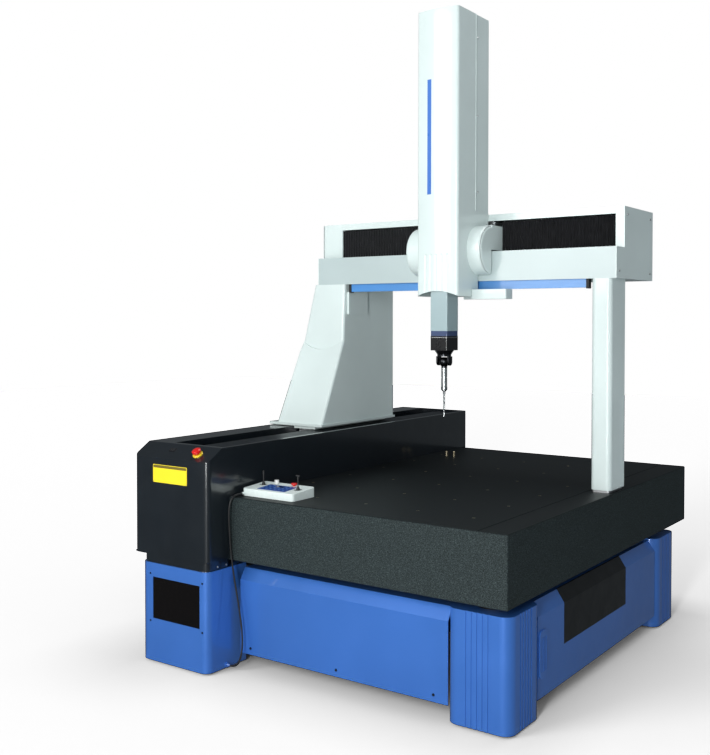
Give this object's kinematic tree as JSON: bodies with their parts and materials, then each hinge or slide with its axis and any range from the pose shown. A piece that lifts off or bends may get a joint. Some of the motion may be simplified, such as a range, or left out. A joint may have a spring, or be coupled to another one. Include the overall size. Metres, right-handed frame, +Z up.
{
  "type": "coordinate measuring machine",
  "caption": "Moving-bridge measuring machine: granite table on a blue stand, guided leg, white beam, sliding carriage and ram with a turning probe head, joystick box.",
  "frame": {"origin": "on the floor at the middle of the machine's bounding box", "axes": "+X along the bridge to the operator's right, +Y from the operator to the rear, +Z up"},
  "size_m": [1.64, 2.067, 2.716],
  "materials": {
    "aluminium": "anodised",
    "bellows_black": "coated cloth",
    "box_white": "moulded",
    "brass": "turned",
    "collar_navy": "satin paint",
    "controller_grey": "powder coat",
    "cord_black": "satin jacket",
    "cover_white": "satin enamel",
    "frame_black": "matt powder coat",
    "granite": "lapped stone, fine speckle",
    "head_black": "satin",
    "head_grey": "dark anodised",
    "housing_navy": "satin paint",
    "keypad_blue": "membrane",
    "knob_white": "moulded",
    "probe_black": "satin",
    "rail_blue": "satin paint",
    "rail_granite": "lapped stone",
    "ram_blue": "ground ceramic coating",
    "rubber_black": "matt",
    "stand_blue": "gloss enamel",
    "steel": "brushed",
    "stick_black": "soft grip",
    "stop_red": "gloss",
    "stop_yellow": "gloss",
    "strip_steel": "brushed",
    "stylus_steel": "ground",
    "switch_black": "gloss",
    "vent_black": "matt",
    "window_glass": "smoked"
  },
  "bodies": {
    "base": {"cabinet_shell": "stand_blue", "cabinet_window": "window_glass", "controller_unit": "controller_grey", "corner_posts": "stand_blue", "estop_collar": "stop_yellow", "front_panel": "stand_blue", "granite_table": "granite", "housing_left_cover": "housing_navy", "housing_nose": "housing_navy", "housing_rear_cover": "housing_navy", "housing_right_cover": "housing_navy", "joystick_cord": "cord_black", "joystick_lower_shell": "box_white", "joystick_upper_shell": "box_white", "keypad": "keypad_blue", "leveling_feet": "steel", "rear_panels": "stand_blue", "right_panel": "stand_blue", "slot_strip": "strip_steel", "stand_frame": "frame_black", "table_inserts": "brass", "vent_panel": "vent_black", "vibration_mounts": "rubber_black", "y_belt_drive": "aluminium", "y_drive_belt": "rubber_black", "y_guide_rail": "rail_granite"},
    "bridge": {"y_saddle": "aluminium", "y_air_bearings": "aluminium", "leg_foot": "cover_white", "leg_column": "aluminium", "leg_cover": "cover_white", "right_column": "cover_white", "x_beam": "rail_granite", "beam_lower_cover": "cover_white", "beam_blue_strip": "rail_blue", "beam_top_cover": "cover_white", "beam_end_caps": "cover_white", "bellows_left": "bellows_black", "bellows_right": "bellows_black"},
    "carriage": {"z_front_cover": "cover_white", "z_rear_cover": "cover_white", "carriage_cover": "cover_white", "carriage_frame": "aluminium", "carriage_air_bearings": "aluminium", "z_drive_motor": "frame_black"},
    "ram": {"z_ram": "ram_blue", "ram_collar": "collar_navy", "probe_head_body": "head_black"},
    "head_turret": {"head_turret": "head_grey"},
    "probe": {"head_knuckle": "head_grey", "probe_body": "probe_black", "stylus": "stylus_steel"},
    "estop_button": {"estop_button": "stop_red"},
    "power_switch": {"power_switch": "switch_black"},
    "left_stick_ring": {"left_stick_ring": "steel"},
    "left_stick": {"left_stick": "stick_black"},
    "right_stick_ring": {"right_stick_ring": "steel"},
    "right_stick": {"right_stick": "stick_black"},
    "speed_knob": {"speed_knob": "knob_white"},
    "box_stop_button": {"box_stop_button": "stop_red"}
  },
  "joints": [
    {"name": "bridge_y", "type": "slide", "parent": "base", "child": "bridge", "axis": [0, 1, 0], "range_m": [-0.5, 0.505]},
    {"name": "carriage_x", "type": "slide", "parent": "bridge", "child": "carriage", "axis": [1, 0, 0], "range_m": [-0.434, 0.471], "deforming": ["bellows_left", "bellows_right"]},
    {"name": "ram_z", "type": "slide", "parent": "carriage", "child": "ram", "axis": [0, 0, 1], "range_m": [-0.275, 0.145]},
    {"name": "head_rotate", "type": "hinge", "parent": "ram", "child": "head_turret", "pos_m": [0.104, -0.0885, 1.24], "axis": [0, 0, 1], "range_deg": [-180, 180]},
    {"name": "head_tilt", "type": "hinge", "parent": "head_turret", "child": "probe", "pos_m": [0.104, -0.0885, 1.211], "axis": [1, 0, 0], "range_deg": [0, 105]},
    {"name": "estop_press", "type": "slide", "parent": "base", "child": "estop_button", "axis": [0, 0.519, -0.8548], "range_m": [0, 0.0025], "stiffness_N_per_m": 2000, "springref_m": -0.002},
    {"name": "power_rocker", "type": "hinge", "parent": "base", "child": "power_switch", "pos_m": [-0.64, -0.98346, 0.86404], "axis": [0, 0.8548, 0.519], "range_deg": [-7, 7]},
    {"name": "left_stick_y", "type": "hinge", "parent": "base", "child": "left_stick_ring", "pos_m": [-0.344, -0.7685, 0.714], "axis": [1, 0, 0], "range_deg": [-18, 18], "stiffness_Nm_per_rad": 0.08},
    {"name": "left_stick_x", "type": "hinge", "parent": "left_stick_ring", "child": "left_stick", "pos_m": [-0.344, -0.7685, 0.714], "axis": [0, 1, 0], "range_deg": [-18, 18], "stiffness_Nm_per_rad": 0.08},
    {"name": "right_stick_y", "type": "hinge", "parent": "base", "child": "right_stick_ring", "pos_m": [-0.154, -0.7845, 0.714], "axis": [1, 0, 0], "range_deg": [-18, 18], "stiffness_Nm_per_rad": 0.08},
    {"name": "right_stick_x", "type": "hinge", "parent": "right_stick_ring", "child": "right_stick", "pos_m": [-0.154, -0.7845, 0.714], "axis": [0, 1, 0], "range_deg": [-18, 18], "stiffness_Nm_per_rad": 0.08},
    {"name": "speed_turn", "type": "hinge", "parent": "base", "child": "speed_knob", "pos_m": [-0.298, -0.7405, 0.73], "axis": [0, 0, 1], "range_deg": [-140, 140]},
    {"name": "box_stop_press", "type": "slide", "parent": "base", "child": "box_stop_button", "axis": [0, 0, -1], "range_m": [0, 0.003], "stiffness_N_per_m": 1200, "springref_m": -0.002}
  ]
}
